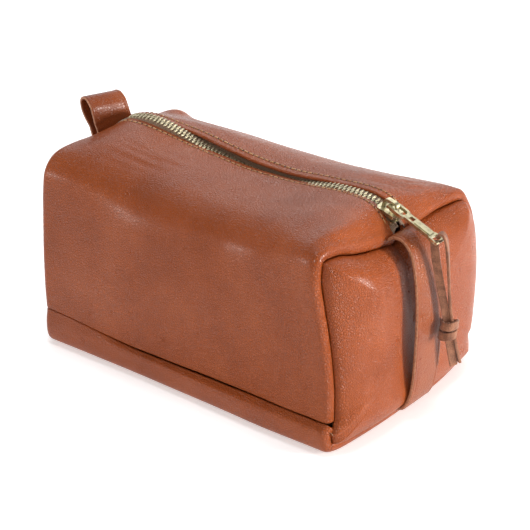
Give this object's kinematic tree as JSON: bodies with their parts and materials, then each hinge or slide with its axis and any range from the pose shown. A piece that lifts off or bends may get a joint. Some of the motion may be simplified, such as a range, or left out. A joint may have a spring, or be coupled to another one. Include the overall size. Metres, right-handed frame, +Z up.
{
  "type": "leather shaving kit bag",
  "caption": "Soft boxy leather toiletry bag with a full-length brass zip that opens its two top flaps, a grab strap, a hanging loop and a lace on the zip puller.",
  "frame": {"origin": "centre of the base, on the surface it stands on", "axes": "+X along the zip towards the end with the grab strap, where the slider rests when closed; -Y is the front; +Z up"},
  "size_m": [0.2737, 0.154, 0.1557],
  "materials": {
    "leather": "semi-gloss pebbled full grain, tan",
    "strap_leather": "semi-gloss tan leather with burnished cut edges",
    "lace_leather": "dry, napped split leather",
    "zip_tape": "brown woven cotton tape",
    "zip_brass": "pale polished brass",
    "slider_brass": "pale satin brass",
    "thread": "waxed tan thread"
  },
  "bodies": {
    "bag": {"base_panel": "leather", "front_wall": "leather", "rear_wall": "leather", "left_end_panel": "leather", "right_end_panel": "leather", "grab_strap": "strap_leather", "loop_tab": "strap_leather", "zip_top_stops": "zip_brass", "zip_bottom_stop": "zip_brass"},
    "front_top": {"front_flap": "leather", "zip_tape_front": "zip_tape", "zip_teeth_front": "zip_brass", "topstitch_front": "thread"},
    "rear_top": {"rear_flap": "leather", "zip_tape_rear": "zip_tape", "zip_teeth_rear": "zip_brass", "topstitch_rear": "thread"},
    "slider": {"slider_body": "slider_brass", "slider_bridge": "slider_brass"},
    "puller": {"puller": "slider_brass"},
    "lace": {"lace_strand_left": "lace_leather", "lace_strand_right": "lace_leather", "lace_knot": "lace_leather"}
  },
  "joints": [
    {"name": "slider_slide", "type": "slide", "parent": "bag", "child": "slider", "axis": [-0.9979, 0, 0.064], "range_m": [0, 0.195], "deforming": ["lace_strand_left", "lace_strand_right", "lace_knot", "zip_top_stops"]},
    {"name": "front_fold", "type": "hinge", "parent": "bag", "child": "front_top", "pos_m": [0, -0.074, 0.097], "axis": [1, 0, 0], "range_deg": [0, 34], "deforming": ["zip_tape_front", "zip_teeth_front"]},
    {"name": "rear_fold", "type": "hinge", "parent": "bag", "child": "rear_top", "pos_m": [0, 0.074, 0.097], "axis": [-1, 0, 0], "range_deg": [0, 34], "deforming": ["zip_tape_rear", "zip_teeth_rear"]},
    {"name": "puller_hinge", "type": "hinge", "parent": "slider", "child": "puller", "pos_m": [0.10591, 0, 0.13434], "axis": [0, -1, 0], "range_deg": [0, 150]},
    {"name": "lace_swing", "type": "hinge", "parent": "puller", "child": "lace", "pos_m": [0.14056, 0, 0.11999], "axis": [0, -1, 0], "range_deg": [0, 110]}
  ],
  "couplings": [
    {"joint": "front_fold", "follows": "slider_slide", "rad_per_m": 3.04},
    {"joint": "rear_fold", "follows": "slider_slide", "rad_per_m": 3.04}
  ]
}
